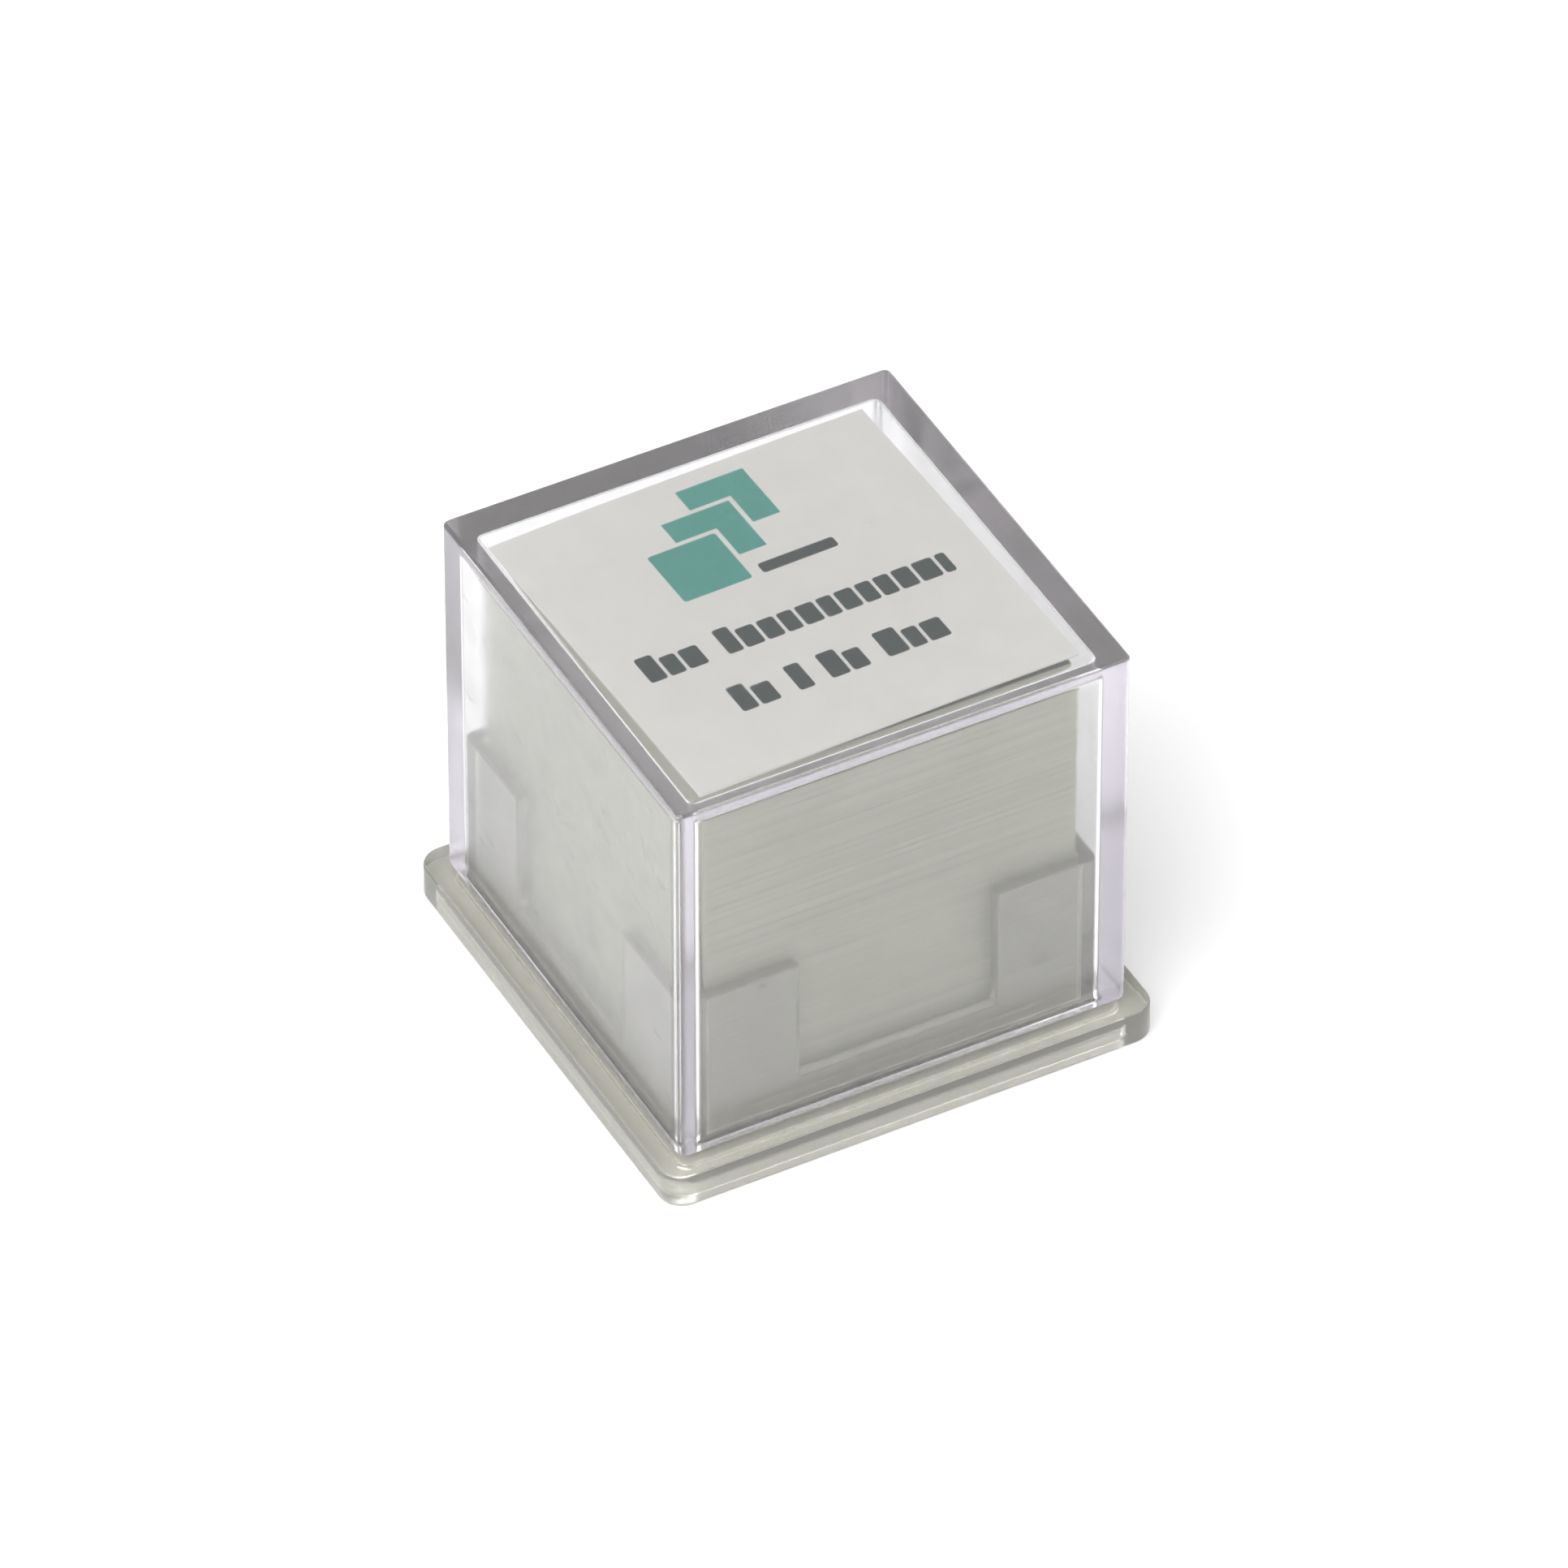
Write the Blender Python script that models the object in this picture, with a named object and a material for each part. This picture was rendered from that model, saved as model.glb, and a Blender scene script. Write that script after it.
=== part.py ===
"""Clear box of square microscope cover glasses: tray base, lift-off lid, label card and 100 glasses.

Frame: metres, +Z up, origin at the centre of the box's underside, where it stands.
The front, which the label's print faces, is -Y.
"""

import math
import random

import bmesh
import bpy

MM = 0.001

# Cover glasses: 18 x 18 mm, thickness No. 1.5, laid flat in one stack.
GLASS_SIDE = 18.0 * MM
GLASS_THICKNESS = 0.17 * MM
GLASS_AIR_FILM = 0.01 * MM
GLASS_COUNT = 100
GLASSES_IN_PACK = 10
PACK_COUNT = 5

# Tray: a pocket round the lower part of the stack, with a finger notch in each wall.
GLASS_CLEARANCE = 0.15 * MM
TRAY_WALL = 0.6 * MM
TRAY_WALL_HEIGHT = 8.2 * MM
TRAY_CORNER_RADIUS = 0.3 * MM
NOTCH_WIDTH = 9.6 * MM
NOTCH_SILL_HEIGHT = 1.8 * MM

# Base plate: its flange stands out all round under the lid, and it stands on a thin rim.
FLANGE_OVERHANG = 1.05 * MM
FLANGE_HEIGHT = 1.7 * MM
FLANGE_CORNER_RADIUS = 1.1 * MM
FOOT_RIM_WIDTH = 1.2 * MM
FOOT_RIM_DEPTH = 0.6 * MM

# Lid: a five-sided cover that slips over the tray and rests on the flange.
LID_CLEARANCE = 0.1 * MM
LID_WALL = 1.05 * MM
LID_TOP_THICKNESS = 1.05 * MM
LID_CORNER_RADIUS = 0.35 * MM
LID_SEAT_GAP = 0.05 * MM
STACK_HEADROOM = 0.25 * MM

# Label card: lies loose under the lid's top, turned a little. The margin is at its corners.
LABEL_MARGIN = 0.36 * MM
LABEL_TURN = math.radians(1.5)
LABEL_SHIFT = 0.15 * MM
LABEL_THICKNESS = 0.25 * MM
LABEL_GAP = 0.03 * MM

# Moulded edges are slightly round.
EDGE_ROUNDING = 0.1 * MM
LID_EDGE_ROUNDING = 0.2 * MM
ROUNDING_SEGMENTS = 3
CORNER_SEGMENTS = 6
SMOOTH_ANGLE = math.radians(32)

# How far a glass may lie off centre, and turned, as a share of its clearance.
LOOSE_SHARE = 0.1

# Sizes that follow from those above.
GLASS_PITCH = GLASS_THICKNESS + GLASS_AIR_FILM
POCKET_SIDE = GLASS_SIDE + 2 * GLASS_CLEARANCE
TRAY_SIDE = POCKET_SIDE + 2 * TRAY_WALL
LID_INNER_SIDE = TRAY_SIDE + 2 * LID_CLEARANCE
LID_SIDE = LID_INNER_SIDE + 2 * LID_WALL
FLANGE_SIDE = LID_SIDE + 2 * FLANGE_OVERHANG
LABEL_SIDE = (LID_INNER_SIDE - 2 * LABEL_MARGIN) / (math.cos(LABEL_TURN) + math.sin(LABEL_TURN))

TRAY_FLOOR_Z = FLANGE_HEIGHT
TRAY_TOP_Z = FLANGE_HEIGHT + TRAY_WALL_HEIGHT
NOTCH_SILL_Z = FLANGE_HEIGHT + NOTCH_SILL_HEIGHT
STACK_BOTTOM_Z = TRAY_FLOOR_Z + GLASS_AIR_FILM
STACK_TOP_Z = STACK_BOTTOM_Z + GLASS_COUNT * GLASS_PITCH - GLASS_AIR_FILM
LABEL_BOTTOM_Z = STACK_TOP_Z + STACK_HEADROOM
LID_CEILING_Z = LABEL_BOTTOM_Z + LABEL_THICKNESS + LABEL_GAP
LID_TOP_Z = LID_CEILING_Z + LID_TOP_THICKNESS
LID_RIM_Z = FLANGE_HEIGHT + LID_SEAT_GAP


def remove_startup_objects():
    for thing in list(bpy.data.objects):
        bpy.data.objects.remove(thing, do_unlink=True)


def make_material(name, colour, roughness, transmission=0.0, ior=1.5):
    material = bpy.data.materials.new(name)
    material.use_nodes = True
    shader = material.node_tree.nodes["Principled BSDF"]
    shader.inputs["Base Color"].default_value = (*colour, 1.0)
    shader.inputs["Metallic"].default_value = 0.0
    shader.inputs["Roughness"].default_value = roughness
    shader.inputs["Transmission Weight"].default_value = transmission
    shader.inputs["IOR"].default_value = ior
    return material


def link_object(name, mesh, material):
    piece = bpy.data.objects.new(name, mesh)
    bpy.context.scene.collection.objects.link(piece)
    piece.data.materials.append(material)
    return piece


def rounded_square(side, radius):
    """Outline of a square with round corners, anticlockwise from above."""
    centre = side / 2 - radius
    outline = []
    for corner, (sign_x, sign_y) in enumerate([(1, 1), (-1, 1), (-1, -1), (1, -1)]):
        for step in range(CORNER_SEGMENTS + 1):
            angle = math.pi / 2 * (corner + step / CORNER_SEGMENTS)
            x = sign_x * centre + radius * math.cos(angle)
            y = sign_y * centre + radius * math.sin(angle)
            outline.append((x, y))
    return outline


def ring_solid(name, rings):
    """Closed solid through square rings (side, corner radius, z), capped at the first and the last."""
    shell = bmesh.new()
    loops = []
    for side, radius, z in rings:
        loops.append([shell.verts.new((x, y, z)) for x, y in rounded_square(side, radius)])
    for lower, upper in zip(loops, loops[1:]):
        count = len(lower)
        for i in range(count):
            j = (i + 1) % count
            shell.faces.new((lower[i], lower[j], upper[j], upper[i]))
    shell.faces.new(list(reversed(loops[0])))
    shell.faces.new(loops[-1])
    bmesh.ops.recalc_face_normals(shell, faces=shell.faces)
    mesh = bpy.data.meshes.new(name)
    shell.to_mesh(mesh)
    shell.free()
    return mesh


def box_mesh(name, size_x, size_y, size_z):
    box = bmesh.new()
    bmesh.ops.create_cube(box, size=1.0)
    bmesh.ops.scale(box, vec=(size_x, size_y, size_z), verts=box.verts)
    mesh = bpy.data.meshes.new(name)
    box.to_mesh(mesh)
    box.free()
    return mesh


def round_edges(piece, width):
    bevel = piece.modifiers.new("round_edges", "BEVEL")
    bevel.width = width
    bevel.segments = ROUNDING_SEGMENTS
    bevel.limit_method = "ANGLE"
    bevel.angle_limit = math.radians(40)


def smooth(piece):
    piece.data.shade_smooth()
    piece.data.set_sharp_from_angle(angle=SMOOTH_ANGLE)


def cut_notch(tray, name, size_x, size_y):
    """Takes a bar of space out of two opposite walls, from the sill to above their tops."""
    height = TRAY_WALL_HEIGHT
    cutter = bpy.data.objects.new(name, box_mesh(name, size_x, size_y, height))
    cutter.location = (0, 0, NOTCH_SILL_Z + height / 2)
    cutter.hide_render = True
    cutter.display_type = "WIRE"
    bpy.context.scene.collection.objects.link(cutter)
    notch = tray.modifiers.new(name, "BOOLEAN")
    notch.operation = "DIFFERENCE"
    notch.solver = "EXACT"
    notch.object = cutter


def make_base_tray(plastic):
    recess_side = FLANGE_SIDE - 2 * FOOT_RIM_WIDTH
    recess_radius = FLANGE_CORNER_RADIUS / 2
    rings = [
        (recess_side, recess_radius, FOOT_RIM_DEPTH),
        (recess_side, recess_radius, 0),
        (FLANGE_SIDE, FLANGE_CORNER_RADIUS, 0),
        (FLANGE_SIDE, FLANGE_CORNER_RADIUS, FLANGE_HEIGHT),
        (TRAY_SIDE, TRAY_CORNER_RADIUS, FLANGE_HEIGHT),
        (TRAY_SIDE, TRAY_CORNER_RADIUS, TRAY_TOP_Z),
        (POCKET_SIDE, GLASS_CLEARANCE, TRAY_TOP_Z),
        (POCKET_SIDE, GLASS_CLEARANCE, TRAY_FLOOR_Z),
    ]
    tray = link_object("base_tray", ring_solid("base_tray", rings), plastic)
    across = TRAY_SIDE + 2 * TRAY_WALL
    cut_notch(tray, "notch_front_back", NOTCH_WIDTH, across)
    cut_notch(tray, "notch_left_right", across, NOTCH_WIDTH)
    round_edges(tray, EDGE_ROUNDING)
    smooth(tray)


def make_lid(plastic):
    inner_radius = TRAY_CORNER_RADIUS + LID_CLEARANCE
    rings = [
        (LID_INNER_SIDE, inner_radius, LID_CEILING_Z),
        (LID_INNER_SIDE, inner_radius, LID_RIM_Z),
        (LID_SIDE, LID_CORNER_RADIUS, LID_RIM_Z),
        (LID_SIDE, LID_CORNER_RADIUS, LID_TOP_Z),
    ]
    lid = link_object("lid", ring_solid("lid", rings), plastic)
    round_edges(lid, LID_EDGE_ROUNDING)
    smooth(lid)
    return lid


def make_label_card(paper, lid):
    card = link_object("label_card", box_mesh("label_card", LABEL_SIDE, LABEL_SIDE, LABEL_THICKNESS), paper)
    card.location = (-LABEL_SHIFT, 0, LABEL_BOTTOM_Z + LABEL_THICKNESS / 2)
    card.rotation_euler = (0, 0, LABEL_TURN)
    card.parent = lid


def lay_glass(name, glass, first, count, loose):
    """One glass, or a pack of glasses that lie edge to edge, counted from the bottom of the stack."""
    height = count * GLASS_PITCH - GLASS_AIR_FILM
    piece = link_object(name, box_mesh(name, GLASS_SIDE, GLASS_SIDE, height), glass)
    shift = LOOSE_SHARE * GLASS_CLEARANCE
    turn = shift / (GLASS_SIDE * math.sqrt(0.5))
    base_z = STACK_BOTTOM_Z + first * GLASS_PITCH
    piece.location = (loose.uniform(-shift, shift), loose.uniform(-shift, shift), base_z + height / 2)
    piece.rotation_euler = (0, 0, loose.uniform(-turn, turn))


def make_glass_stack(glass):
    loose = random.Random(18)
    for pack in range(PACK_COUNT):
        lay_glass(f"glass_pack_{pack + 1}", glass, pack * GLASSES_IN_PACK, GLASSES_IN_PACK, loose)
    for index in range(PACK_COUNT * GLASSES_IN_PACK, GLASS_COUNT):
        lay_glass(f"cover_glass_{index + 1:03d}", glass, index, 1, loose)


def main():
    remove_startup_objects()
    plastic = make_material("clear_polystyrene", (0.86, 0.87, 0.87), 0.08, transmission=0.9, ior=1.59)
    paper = make_material("label_paper", (0.70, 0.69, 0.65), 0.75)
    glass = make_material("cover_glass", (0.52, 0.56, 0.50), 0.12, transmission=0.6, ior=1.52)
    make_base_tray(plastic)
    lid = make_lid(plastic)
    make_label_card(paper, lid)
    make_glass_stack(glass)


main()
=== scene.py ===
"""Looks for the clear box of cover glasses: finer mouldings, 100 single slips and a printed card."""

import math
import random

import bmesh
import bpy
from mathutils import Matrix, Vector


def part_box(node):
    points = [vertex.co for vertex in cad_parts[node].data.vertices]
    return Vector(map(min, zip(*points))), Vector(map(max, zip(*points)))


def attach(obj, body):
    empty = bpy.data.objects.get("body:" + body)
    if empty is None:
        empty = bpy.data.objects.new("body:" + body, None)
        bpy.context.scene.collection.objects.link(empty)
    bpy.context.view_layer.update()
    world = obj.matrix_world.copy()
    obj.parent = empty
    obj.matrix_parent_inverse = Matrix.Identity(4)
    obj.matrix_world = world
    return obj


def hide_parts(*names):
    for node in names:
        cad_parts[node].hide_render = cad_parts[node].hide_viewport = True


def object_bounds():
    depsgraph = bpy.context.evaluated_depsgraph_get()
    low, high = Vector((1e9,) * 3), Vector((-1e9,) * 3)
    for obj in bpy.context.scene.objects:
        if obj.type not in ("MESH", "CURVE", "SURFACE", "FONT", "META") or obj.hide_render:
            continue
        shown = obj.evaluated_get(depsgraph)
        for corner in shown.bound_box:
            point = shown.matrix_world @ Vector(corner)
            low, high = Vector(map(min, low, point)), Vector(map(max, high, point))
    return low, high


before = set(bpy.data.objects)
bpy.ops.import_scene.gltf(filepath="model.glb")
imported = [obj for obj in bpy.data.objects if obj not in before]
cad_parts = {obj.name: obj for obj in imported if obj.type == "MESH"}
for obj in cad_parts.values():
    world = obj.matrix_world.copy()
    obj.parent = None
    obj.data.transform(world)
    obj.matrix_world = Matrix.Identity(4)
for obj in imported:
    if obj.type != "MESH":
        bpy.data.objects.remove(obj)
cad_low, cad_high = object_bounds()

MM = 0.001

# Glasses. The uppermost one moves by itself, and all the others move as one stack.
GLASS_SIDE = 18.0 * MM
GLASS_COUNT = 100
GLASSES_IN_PACK = 10
PACK_COUNT = 5
AIR_FILM = 0.01 * MM
SLIP_SHIFT = 0.012 * MM
SLIP_TURN = math.radians(0.06)
EDGE_WAVER = 0.008 * MM
EDGE_POINTS = 7

# The two mouldings.
GLASS_CLEARANCE = 0.15 * MM
TRAY_WALL = 0.6 * MM
TRAY_CORNER_RADIUS = 0.3 * MM
NOTCH_WIDTH = 9.6 * MM
NOTCH_SILL_HEIGHT = 1.8 * MM
FLANGE_HEIGHT = 1.7 * MM
FLANGE_CORNER_RADIUS = 1.1 * MM
FOOT_RIM_WIDTH = 1.2 * MM
FOOT_RIM_DEPTH = 0.6 * MM
GATE_RADIUS = 0.8 * MM
GATE_TIP_RADIUS = 0.64 * MM
GATE_HEIGHT = 0.3 * MM
LID_WALL = 1.05 * MM
LID_TOP_THICKNESS = 1.05 * MM
LID_CORNER_RADIUS = 0.35 * MM
LID_INNER_RADIUS = 0.4 * MM
LID_ROUNDING = 0.2 * MM
BASE_ROUNDING = 0.12 * MM
WELD_DISTANCE = 0.0001 * MM
BEVEL_ANGLE = math.radians(40)

# Label card and its print. Places on the card are shares of half its side.
CARD_TURN = math.radians(1.5)
CARD_THICKNESS = 0.11 * MM
CARD_CURL = 0.12 * MM
INK_LIFT = 0.001 * MM
INK_THICKNESS = 0.006 * MM
LETTER_GAP = 0.16 * MM
LETTER_ROUNDING = 0.14 * MM
FIRST_BLOCK_HEIGHT = 1.3
CARD_CELLS = 48

# Camera: its direction, and its place as shares of the lid's side.
CAMERA_AZIMUTH = math.radians(-28.2)
CAMERA_ELEVATION = math.radians(41.5)
CAMERA_LENS = 366.5
CAMERA_DISTANCE = 31.55
CAMERA_AIM_HEIGHT = 0.466
CAMERA_AIM_LEFT = 0.002

# Index of refraction.
PLASTIC_IOR = 1.59
GLASS_IOR = 1.52


# ---------------------------------------------------------------- mesh helpers


def new_piece(name, mesh, materials):
    piece = bpy.data.objects.new(name, mesh)
    bpy.context.scene.collection.objects.link(piece)
    for material in materials:
        piece.data.materials.append(material)
    return piece


def finish_mesh(name, shell):
    bmesh.ops.recalc_face_normals(shell, faces=shell.faces)
    mesh = bpy.data.meshes.new(name)
    shell.to_mesh(mesh)
    shell.free()
    return mesh


def rounded_rectangle(left, right, front, back, radius, segments):
    """Outline with round corners, anticlockwise from above."""
    outline = []
    corners = [(right, back, -1, -1), (left, back, 1, -1), (left, front, 1, 1), (right, front, -1, 1)]
    for corner, (x, y, inward_x, inward_y) in enumerate(corners):
        for step in range(segments + 1):
            angle = math.pi / 2 * (corner + step / segments)
            px = x + inward_x * radius + radius * math.cos(angle)
            py = y + inward_y * radius + radius * math.sin(angle)
            outline.append((px, py))
    return outline


def rounded_square(side, radius, segments=8):
    half = side / 2
    return rounded_rectangle(-half, half, -half, half, radius, segments)


def add_side_faces(shell, lower, upper):
    count = len(lower)
    return [
        shell.faces.new((lower[i], lower[(i + 1) % count], upper[(i + 1) % count], upper[i]))
        for i in range(count)
    ]


def add_prism(shell, outline, bottom, top):
    lower = [shell.verts.new((x, y, bottom)) for x, y in outline]
    upper = [shell.verts.new((x, y, top)) for x, y in outline]
    shell.faces.new(list(reversed(lower)))
    shell.faces.new(upper)
    return add_side_faces(shell, lower, upper)


def ring_solid(name, rings):
    """Closed solid through square rings (side, corner radius, z), capped at the first and the last.

    A ring whose radius is half its side is a circle. Its corners meet, and the points they share are welded.
    """
    shell = bmesh.new()
    loops = []
    for side, radius, z in rings:
        loops.append([shell.verts.new((x, y, z)) for x, y in rounded_square(side, radius)])
    for lower, upper in zip(loops, loops[1:]):
        add_side_faces(shell, lower, upper)
    shell.faces.new(list(reversed(loops[0])))
    shell.faces.new(loops[-1])
    bmesh.ops.remove_doubles(shell, verts=shell.verts, dist=WELD_DISTANCE)
    return finish_mesh(name, shell)


def round_edges(piece, width, segments=4):
    bevel = piece.modifiers.new("round_edges", "BEVEL")
    bevel.width = width
    bevel.segments = segments
    bevel.limit_method = "ANGLE"
    bevel.angle_limit = BEVEL_ANGLE


def smooth_faces(piece):
    """Flat faces stay flat, and the rounding between them is smooth."""
    piece.data.shade_smooth()
    weighted = piece.modifiers.new("flat_faces", "WEIGHTED_NORMAL")
    weighted.mode = "FACE_AREA"
    weighted.weight = 100
    weighted.keep_sharp = False


# ---------------------------------------------------------------- materials


class Nodes:
    """Short names for building one material's node tree."""

    def __init__(self, name):
        self.material = bpy.data.materials.new(name)
        self.material.use_nodes = True
        self.tree = self.material.node_tree
        self.shader = self.tree.nodes["Principled BSDF"]
        self.output = self.tree.nodes["Material Output"]
        self.place = self.add("ShaderNodeTexCoord").outputs["Object"]

    def add(self, kind, **settings):
        node = self.tree.nodes.new(kind)
        for key, value in settings.items():
            setattr(node, key, value)
        return node

    def link(self, source, target):
        self.tree.links.new(source, target)

    def stretched(self, scale, turn=0.0):
        mapping = self.add("ShaderNodeMapping")
        mapping.inputs["Scale"].default_value = scale
        mapping.inputs["Rotation"].default_value = (0, 0, turn)
        self.link(self.place, mapping.inputs["Vector"])
        return mapping.outputs["Vector"]

    def noise(self, scale, detail=3.0, roughness=0.5, stretch=None, turn=0.0):
        noise = self.add("ShaderNodeTexNoise")
        noise.inputs["Scale"].default_value = scale
        noise.inputs["Detail"].default_value = detail
        noise.inputs["Roughness"].default_value = roughness
        place = self.stretched(stretch, turn) if stretch else self.place
        self.link(place, noise.inputs["Vector"])
        return noise.outputs["Fac"]

    def spread(self, source, low, high, start=0.3, end=0.7):
        """A value that runs from low to high as source runs from start to end."""
        span = self.add("ShaderNodeMapRange")
        span.inputs["From Min"].default_value = start
        span.inputs["From Max"].default_value = end
        span.inputs["To Min"].default_value = low
        span.inputs["To Max"].default_value = high
        self.link(source, span.inputs["Value"])
        return span.outputs["Result"]

    def blend(self, source, low, high, start=0.3, end=0.7):
        """A colour that runs from low to high as source runs from start to end."""
        ramp = self.add("ShaderNodeValToRGB")
        ramp.color_ramp.elements[0].position = start
        ramp.color_ramp.elements[0].color = (*low, 1.0)
        ramp.color_ramp.elements[1].position = end
        ramp.color_ramp.elements[1].color = (*high, 1.0)
        self.link(source, ramp.inputs["Fac"])
        return ramp.outputs["Color"]

    def total(self, first, second):
        add = self.add("ShaderNodeMath", operation="ADD")
        self.link(first, add.inputs[0])
        self.link(second, add.inputs[1])
        return add.outputs["Value"]

    def colour(self, source):
        self.link(source, self.shader.inputs["Base Color"])

    def roughness(self, source):
        self.link(source, self.shader.inputs["Roughness"])

    def bump(self, height, depth):
        bump = self.add("ShaderNodeBump")
        bump.inputs["Distance"].default_value = depth
        self.link(height, bump.inputs["Height"])
        self.link(bump.outputs["Normal"], self.shader.inputs["Normal"])

    def set(self, **values):
        for key, value in values.items():
            self.shader.inputs[key.replace("_", " ")].default_value = value

    def absorb(self, tint, density):
        """Body colour that grows with the way that light goes through the piece."""
        volume = self.add("ShaderNodeVolumeAbsorption")
        volume.inputs["Color"].default_value = (*tint, 1.0)
        volume.inputs["Density"].default_value = density
        self.link(volume.outputs["Volume"], self.output.inputs["Volume"])


def clear_plastic(name, smoothest, roughest, clarity, shade, tint, density):
    """Moulded polystyrene: clear, tinted in thick section, with flow marks, hairlines and haze.

    Clarity is the share of light that it lets through. The rest veils it in its shade.
    """
    make = Nodes(name)
    make.set(IOR=PLASTIC_IOR, Transmission_Weight=clarity)
    make.absorb(tint, density)
    haze = make.noise(420.0, detail=5.0, roughness=0.62)
    hairlines = make.noise(900.0, detail=2.0, stretch=(0.12, 1.0, 1.0), turn=0.5)
    crossing = make.noise(800.0, detail=2.0, stretch=(1.0, 0.10, 1.0), turn=-0.3)
    scuffs = make.spread(make.total(hairlines, crossing), 0.0, 1.0, 1.12, 1.4)
    make.colour(make.blend(haze, tuple(0.98 * channel for channel in shade), shade))
    satin = make.spread(haze, smoothest, roughest, 0.42, 0.75)
    make.roughness(make.total(satin, make.spread(scuffs, 0.0, 0.08)))
    flow = make.noise(160.0, detail=2.0, stretch=(1.0, 1.0, 0.45))
    make.bump(make.total(flow, make.spread(scuffs, 0.0, 0.15)), 0.015 * MM)
    return make.material


def cut_glass_edge(name):
    """Scored and broken edges of the slips: satin, grey-green, a slightly new shade for each slip."""
    make = Nodes(name)
    make.set(IOR=GLASS_IOR)
    layers = make.noise(900.0, detail=4.0, roughness=0.6, stretch=(0.05, 0.05, 3.2))
    clouds = make.noise(190.0, detail=3.0, roughness=0.55)
    tone = make.spread(make.total(layers, clouds), 0.0, 1.0, 0.7, 1.3)
    make.colour(make.blend(tone, (0.45, 0.455, 0.365), (0.495, 0.50, 0.405)))
    make.roughness(make.spread(clouds, 0.4, 0.55))
    make.bump(make.noise(2500.0, detail=2.0), 0.003 * MM)
    return make.material


def stacked_glass_face(name):
    """Polished face of a slip that lies on many others: the depth below shows as grey-green."""
    make = Nodes(name)
    make.set(IOR=GLASS_IOR, Coat_Weight=0.6, Coat_Roughness=0.02)
    depth = make.noise(140.0, detail=3.0)
    make.colour(make.blend(depth, (0.40, 0.44, 0.40), (0.50, 0.54, 0.49)))
    make.roughness(make.spread(make.noise(1300.0, detail=4.0), 0.05, 0.14))
    make.bump(depth, 0.003 * MM)
    return make.material


def single_glass(name):
    """One thin slip by itself: almost colourless, with the faintest waviness and a little dust."""
    make = Nodes(name)
    make.set(IOR=GLASS_IOR, Transmission_Weight=1.0)
    wave = make.noise(240.0, detail=2.0)
    dust = make.noise(3000.0, detail=2.0)
    make.colour(make.blend(wave, (0.92, 0.955, 0.94), (0.96, 0.985, 0.97)))
    make.roughness(make.spread(dust, 0.0, 0.12, 0.66, 0.74))
    make.bump(wave, 0.004 * MM)
    return make.material


def label_paper(name):
    """Uncoated off-white card with short fibres and slight mottling."""
    make = Nodes(name)
    mottle = make.noise(650.0, detail=6.0, roughness=0.7)
    make.colour(make.blend(mottle, (0.83, 0.82, 0.77), (0.88, 0.87, 0.82)))
    make.roughness(make.spread(mottle, 0.62, 0.85))
    make.bump(make.noise(5200.0, detail=3.0, stretch=(1.0, 0.35, 1.0)), 0.006 * MM)
    return make.material


def printing_ink(name, thin, full):
    """Offset ink on card: even colour that breaks up slightly over the fibres."""
    make = Nodes(name)
    make.set(Specular_IOR_Level=0.15)
    cover = make.noise(3800.0, detail=4.0, roughness=0.65)
    make.colour(make.blend(cover, thin, full, 0.32, 0.5))
    make.roughness(make.spread(cover, 0.45, 0.62))
    make.bump(cover, 0.002 * MM)
    return make.material


def studio_floor(name):
    make = Nodes(name)
    make.set(Roughness=0.9)
    make.colour(make.blend(make.noise(8.0, detail=2.0), (0.90, 0.90, 0.90), (0.92, 0.92, 0.92)))
    return make.material


# ---------------------------------------------------------------- mouldings


def make_lid(plastic):
    low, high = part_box("lid")
    side = high.x - low.x
    inner = side - 2 * LID_WALL
    rings = [
        (inner, LID_INNER_RADIUS, high.z - LID_TOP_THICKNESS),
        (inner, LID_INNER_RADIUS, low.z),
        (side, LID_CORNER_RADIUS, low.z),
        (side, LID_CORNER_RADIUS, high.z),
    ]
    lid = new_piece("lid_moulding", ring_solid("lid_moulding", rings), [plastic])
    round_edges(lid, LID_ROUNDING, 5)
    smooth_faces(lid)
    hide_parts("lid")
    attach(lid, "lid")


def cut_away(piece, name, shell):
    """Takes one closed shape out of a piece, and keeps only the result."""
    tool = new_piece(name, finish_mesh(name, shell), [])
    change = piece.modifiers.new(name, "BOOLEAN")
    change.operation = "DIFFERENCE"
    change.solver = "EXACT"
    change.object = tool
    depsgraph = bpy.context.evaluated_depsgraph_get()
    mesh = bpy.data.meshes.new_from_object(piece.evaluated_get(depsgraph))
    piece.modifiers.clear()
    piece.data = mesh
    bpy.data.objects.remove(tool, do_unlink=True)


def box_shell(size, centre):
    shell = bmesh.new()
    bmesh.ops.create_cube(shell, size=1.0)
    bmesh.ops.scale(shell, vec=size, verts=shell.verts)
    bmesh.ops.translate(shell, vec=centre, verts=shell.verts)
    return shell


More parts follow.
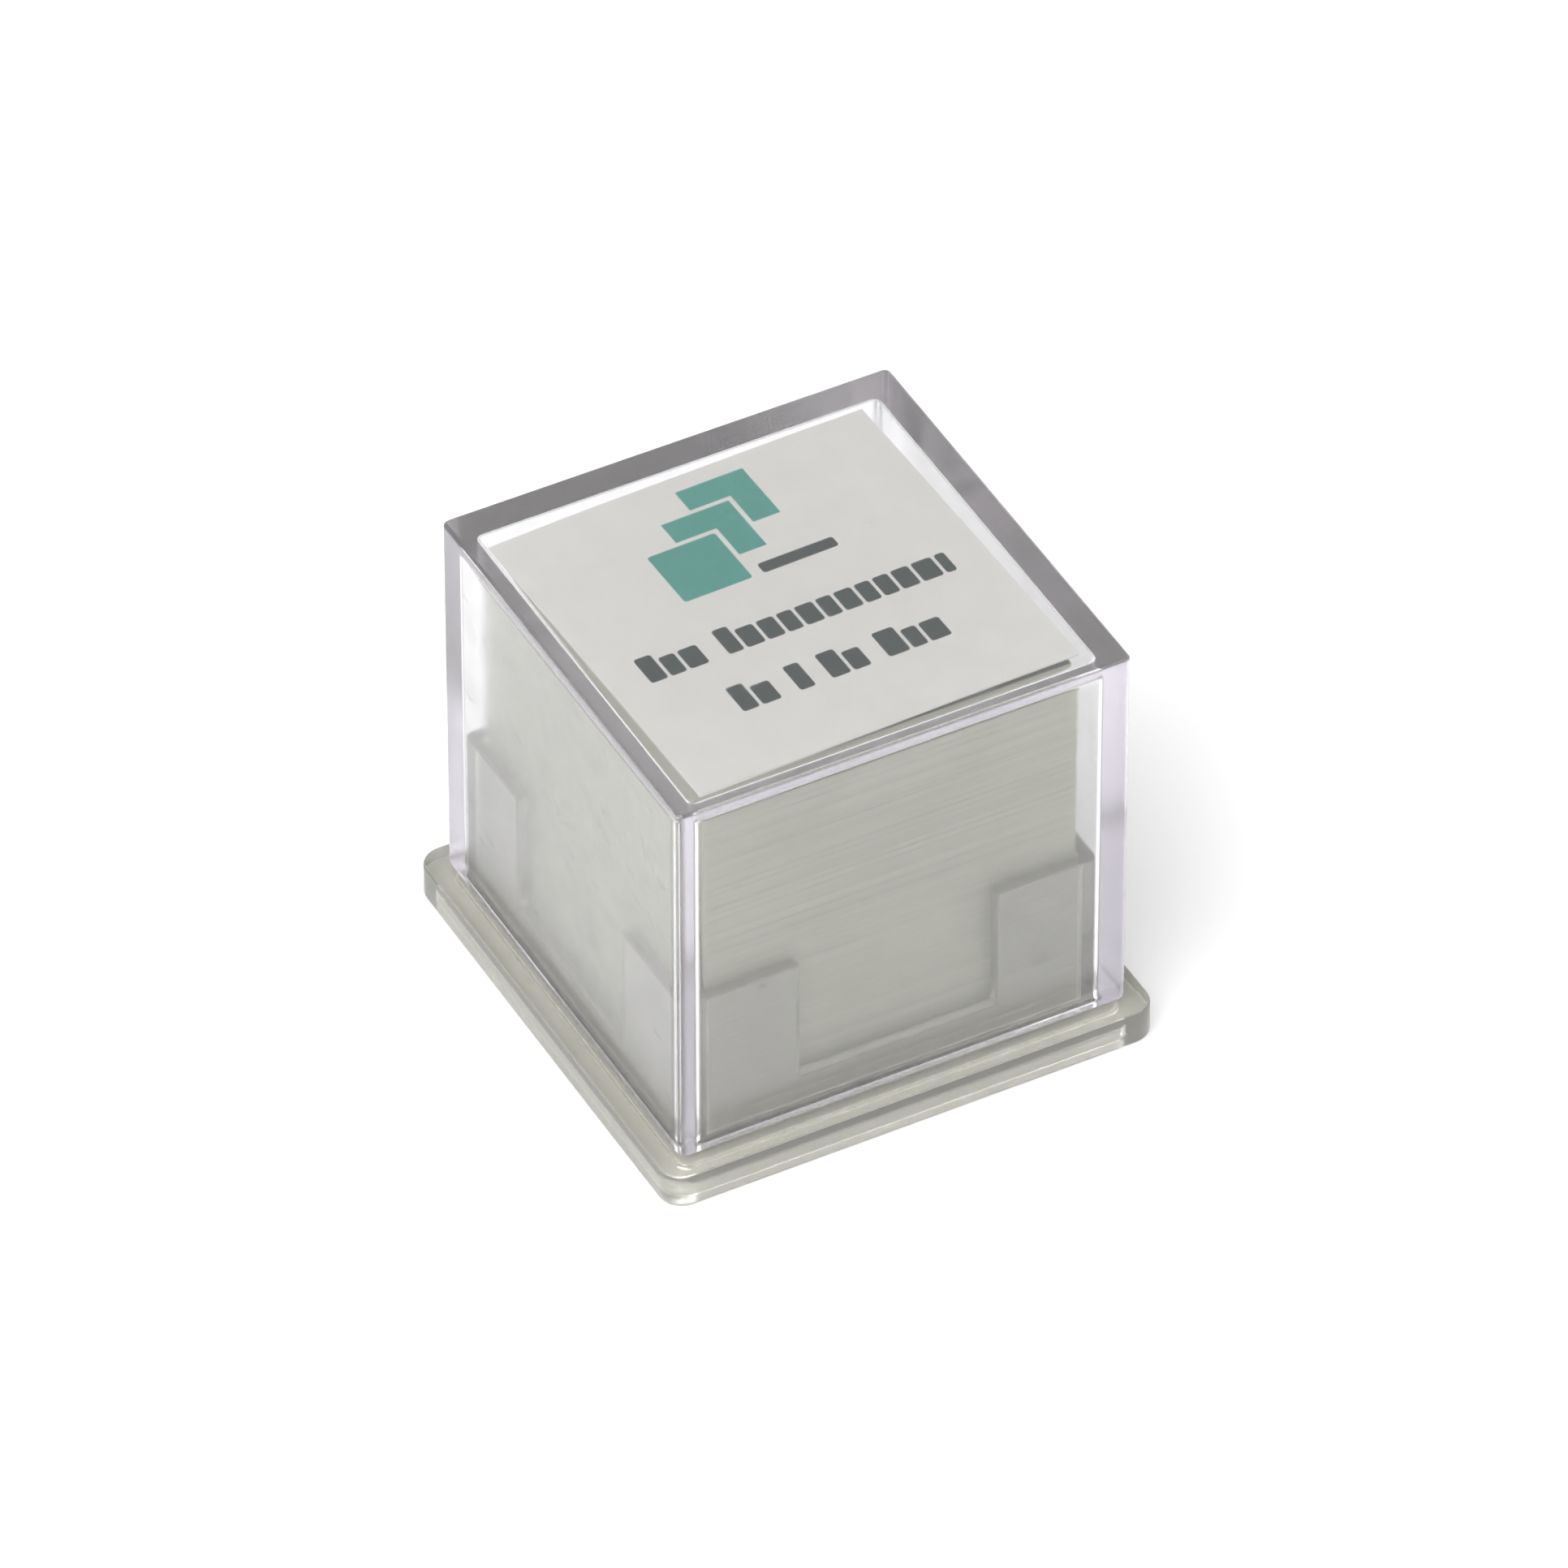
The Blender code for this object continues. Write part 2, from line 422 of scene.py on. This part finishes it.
def make_tray(plastic):
    """The base, from the round stub of its gate out to the flange and up to the tray's walls."""
    low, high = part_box("base_tray")
    flange = high.x - low.x
    pocket = GLASS_SIDE + 2 * GLASS_CLEARANCE
    tray = pocket + 2 * TRAY_WALL
    recess = flange - 2 * FOOT_RIM_WIDTH
    recess_radius = FLANGE_CORNER_RADIUS / 2
    rings = [
        (2 * GATE_TIP_RADIUS, GATE_TIP_RADIUS, FOOT_RIM_DEPTH - GATE_HEIGHT),
        (2 * GATE_RADIUS, GATE_RADIUS, FOOT_RIM_DEPTH),
        (recess, recess_radius, FOOT_RIM_DEPTH),
        (recess, recess_radius, low.z),
        (flange, FLANGE_CORNER_RADIUS, low.z),
        (flange, FLANGE_CORNER_RADIUS, FLANGE_HEIGHT),
        (tray, TRAY_CORNER_RADIUS, FLANGE_HEIGHT),
        (tray, TRAY_CORNER_RADIUS, high.z),
        (pocket, GLASS_CLEARANCE, high.z),
        (pocket, GLASS_CLEARANCE, FLANGE_HEIGHT),
    ]
    base = new_piece("base_moulding", ring_solid("base_moulding", rings), [plastic])
    across = tray + 2 * TRAY_WALL
    height = high.z - FLANGE_HEIGHT
    centre = (0, 0, FLANGE_HEIGHT + NOTCH_SILL_HEIGHT + height / 2)
    cut_away(base, "notch_front_back", box_shell((NOTCH_WIDTH, across, height), centre))
    cut_away(base, "notch_left_right", box_shell((across, NOTCH_WIDTH, height), centre))
    round_edges(base, BASE_ROUNDING)
    smooth_faces(base)
    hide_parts("base_tray")
    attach(base, "base")


# ---------------------------------------------------------------- cover glasses


def slip_outline(centre, turn, chance):
    """Square whose four scored edges waver by a few thousandths of a millimetre."""
    half = GLASS_SIDE / 2
    cos, sin = math.cos(turn), math.sin(turn)
    outline = []
    for corner in range(4):
        for step in range(EDGE_POINTS):
            along = -half + GLASS_SIDE * step / EDGE_POINTS
            out = half - (chance.uniform(0, EDGE_WAVER) if step else 0)
            x, y = along, -out
            for _ in range(corner):
                x, y = -y, x
            outline.append((centre.x + cos * x - sin * y, centre.y + sin * x + cos * y))
    return outline


def slip_mesh(name, outline, bottom, top):
    """One slip: its two faces take the first material and its cut edges the second."""
    shell = bmesh.new()
    for face in add_prism(shell, outline, bottom, top):
        face.material_index = 1
    return finish_mesh(name, shell)


def make_slips(stacked_face, lone_face, cut_edge):
    chance = random.Random(GLASS_COUNT)
    pack_low, pack_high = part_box("glass_pack_1")
    pitch = (pack_high.z - pack_low.z + AIR_FILM) / GLASSES_IN_PACK
    for index in range(GLASS_COUNT):
        pack = index // GLASSES_IN_PACK
        node = f"glass_pack_{pack + 1}" if pack < PACK_COUNT else f"cover_glass_{index + 1:03d}"
        low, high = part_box(node)
        shift_x = chance.uniform(-SLIP_SHIFT, SLIP_SHIFT)
        shift_y = chance.uniform(-SLIP_SHIFT, SLIP_SHIFT)
        shift = Vector((shift_x, shift_y, 0))
        outline = slip_outline((low + high) / 2 + shift, chance.uniform(-SLIP_TURN, SLIP_TURN), chance)
        bottom = pack_low.z + index * pitch
        name = f"slip_{index + 1:03d}"
        last = index == GLASS_COUNT - 1
        mesh = slip_mesh(name, outline, bottom, bottom + pitch - AIR_FILM)
        slip = new_piece(name, mesh, [lone_face if last else stacked_face, cut_edge])
        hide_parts(node)
        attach(slip, "top_glass" if last else "stack")


# ---------------------------------------------------------------- label card


def card_drop(x, y, half):
    """How far the card's corners hang down: most at the back left, where it is creased."""
    reach = 0.62 * half
    drop = 0.0
    for sign_x, sign_y, share in [(-1, 1, 1.0), (1, 1, 0.45), (-1, -1, 0.3), (1, -1, 0.55)]:
        near = (sign_x * x + sign_y * y) - (2 * half - reach)
        if near > 0:
            drop += share * CARD_CURL * (near / reach) ** 1.5
    return drop


def lay_in_lid(piece):
    """Places a piece that was built round the card's own centre on the card, and turns it with it."""
    low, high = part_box("label_card")
    piece.location = ((low.x + high.x) / 2, (low.y + high.y) / 2, 0)
    piece.rotation_euler = (0, 0, CARD_TURN)
    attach(piece, "lid")


def add_card_face(shell, half, height):
    """One face of the card, as rows of points from front to back. Its corners hang down."""
    places = [-half + 2 * half * step / CARD_CELLS for step in range(CARD_CELLS + 1)]
    rows = [[shell.verts.new((x, y, height - card_drop(x, y, half))) for x in places] for y in places]
    for front, back in zip(rows, rows[1:]):
        for i in range(CARD_CELLS):
            shell.faces.new((front[i], front[i + 1], back[i + 1], back[i]))
    return rows


def outer_points(rows):
    """The points round the card's edge, anticlockwise from above."""
    right = [row[-1] for row in rows[1:-1]]
    left = [row[0] for row in rows[1:-1]]
    return rows[0] + right + rows[-1][::-1] + left[::-1]


def make_card(paper):
    low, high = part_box("label_card")
    half = (high.x - low.x) / (math.cos(CARD_TURN) + math.sin(CARD_TURN)) / 2
    shell = bmesh.new()
    upper = add_card_face(shell, half, high.z)
    lower = add_card_face(shell, half, high.z - CARD_THICKNESS)
    add_side_faces(shell, outer_points(lower), outer_points(upper))
    card = new_piece("label_sheet", finish_mesh("label_sheet", shell), [paper])
    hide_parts("label_card")
    lay_in_lid(card)
    return half, high.z


def print_patch(name, outlines, card_top, ink):
    """Flat patches of one ink lying on the card."""
    shell = bmesh.new()
    bottom = card_top + INK_LIFT
    for outline in outlines:
        add_prism(shell, outline, bottom, bottom + INK_THICKNESS)
    lay_in_lid(new_piece(name, finish_mesh(name, shell), [ink]))


def make_mark(half, card_top, teal, dark):
    """A picture of three fanned slips, with a short dark rule beside it: no company's sign."""
    side = 0.36 * half
    step = 0.17 * half
    gap = 0.025 * half
    left, front = -0.40 * half, 0.20 * half
    slips = [rounded_rectangle(left, left + side, front, front + side, LETTER_ROUNDING, 4)]
    for number in (1, 2):
        x, y = left + number * step, front + number * step
        inner_x, inner_y = x - step + side + gap, y - step + side + gap
        slips.append([
            (inner_x, y), (x + side, y), (x + side, y + side),
            (x, y + side), (x, inner_y), (inner_x, inner_y),
        ])
    print_patch("print_mark", slips, card_top, teal)
    rule = rounded_rectangle(0.02 * half, 0.42 * half, 0.20 * half, 0.27 * half, LETTER_ROUNDING, 4)
    print_patch("print_rule", [rule], card_top, dark)


def block_word(left, right, foot, height, chance):
    """A word-like row of plain blocks, the first one taller, that spells nothing."""
    blocks = []
    x = left
    while x < right - 0.3 * height:
        width = min(height * chance.uniform(0.55, 0.8), right - x)
        tall = height * (1.0 if blocks else FIRST_BLOCK_HEIGHT)
        rounding = min(LETTER_ROUNDING, width / 3)
        blocks.append(rounded_rectangle(x, x + width, foot, foot + tall, rounding, 4))
        x += width + LETTER_GAP
    return blocks


def make_print(half, card_top, teal, dark):
    make_mark(half, card_top, teal, dark)
    chance = random.Random(7)
    height = 0.14 * half
    lines = [
        ("print_line_1", -0.22 * half, [(-0.81, -0.47), (-0.40, 0.81)]),
        ("print_line_2", -0.60 * half, [(-0.54, -0.33), (-0.24, -0.16), (-0.07, 0.17), (0.23, 0.60)]),
    ]
    for name, foot, words in lines:
        blocks = []
        for left, right in words:
            blocks += block_word(left * half, right * half, foot, height, chance)
        print_patch(name, blocks, card_top, dark)


# ---------------------------------------------------------------- studio


def make_floor():
    shell = bmesh.new()
    bmesh.ops.create_grid(shell, x_segments=2, y_segments=2, size=1.5)
    floor = new_piece("studio_floor", finish_mesh("studio_floor", shell), [studio_floor("floor_paper")])
    floor.location = (0, 0, cad_low.z - 0.02 * MM)


def area_light(name, size, power, place, aim):
    light = bpy.data.lights.new(name, "AREA")
    light.shape = "SQUARE"
    light.size = size
    light.energy = power
    lamp = bpy.data.objects.new(name, light)
    bpy.context.scene.collection.objects.link(lamp)
    lamp.location = place
    lamp.rotation_euler = (Vector(aim) - Vector(place)).to_track_quat("-Z", "Y").to_euler()


def make_lights():
    world = bpy.data.worlds.new("studio")
    bpy.context.scene.world = world
    world.use_nodes = True
    sky = world.node_tree.nodes["Background"]
    sky.inputs["Color"].default_value = (0.81, 0.81, 0.81, 1.0)
    sky.inputs["Strength"].default_value = 0.86
    middle = (0, 0, cad_high.z / 2)
    area_light("key", 0.7, 4.9, (-0.40, -0.16, 0.50), middle)
    area_light("fill", 0.35, 1.5, (0.38, -0.36, 0.42), middle)


def make_camera():
    back = Vector((
        math.sin(CAMERA_AZIMUTH) * math.cos(CAMERA_ELEVATION),
        -math.cos(CAMERA_AZIMUTH) * math.cos(CAMERA_ELEVATION),
        math.sin(CAMERA_ELEVATION),
    ))
    data = bpy.data.cameras.new("camera")
    data.sensor_width = 36.0
    data.lens = CAMERA_LENS
    data.clip_start = 0.05
    data.clip_end = 10.0
    camera = bpy.data.objects.new("camera", data)
    bpy.context.scene.collection.objects.link(camera)
    low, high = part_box("lid")
    lid_side = high.x - low.x
    right = Vector((math.cos(CAMERA_AZIMUTH), math.sin(CAMERA_AZIMUTH), 0))
    aim = Vector((0, 0, CAMERA_AIM_HEIGHT * lid_side)) - right * CAMERA_AIM_LEFT * lid_side
    camera.location = aim + back * CAMERA_DISTANCE * lid_side
    camera.rotation_mode = "QUATERNION"
    camera.rotation_quaternion = (-back).to_track_quat("-Z", "Y")
    bpy.context.scene.camera = camera


def set_light_paths():
    """Enough bounces for light to cross the lid and the tray, and colours shown as they are."""
    scene = bpy.context.scene
    scene.view_settings.view_transform = "Standard"
    scene.cycles.max_bounces = 32
    scene.cycles.transmission_bounces = 32
    scene.cycles.glossy_bounces = 12


def main():
    make_camera()
    make_lights()
    make_floor()
    set_light_paths()
    make_lid(clear_plastic(
        "lid_plastic", smoothest=0.12, roughest=0.22, clarity=0.985,
        shade=(0.995, 0.995, 1.0), tint=(0.78, 0.66, 0.90), density=17.0,
    ))
    make_tray(clear_plastic(
        "base_plastic", smoothest=0.13, roughest=0.24, clarity=0.88,
        shade=(0.99, 0.985, 0.94), tint=(0.73, 0.72, 0.65), density=320.0,
    ))
    make_slips(stacked_glass_face("stacked_glass"), single_glass("single_glass"), cut_glass_edge("cut_edge"))
    half, card_top = make_card(label_paper("card"))
    teal = printing_ink("teal_ink", (0.055, 0.39, 0.315), (0.035, 0.34, 0.275))
    dark = printing_ink("green_ink", (0.001, 0.030, 0.024), (0.001, 0.020, 0.016))
    make_print(half, card_top, teal, dark)


main()
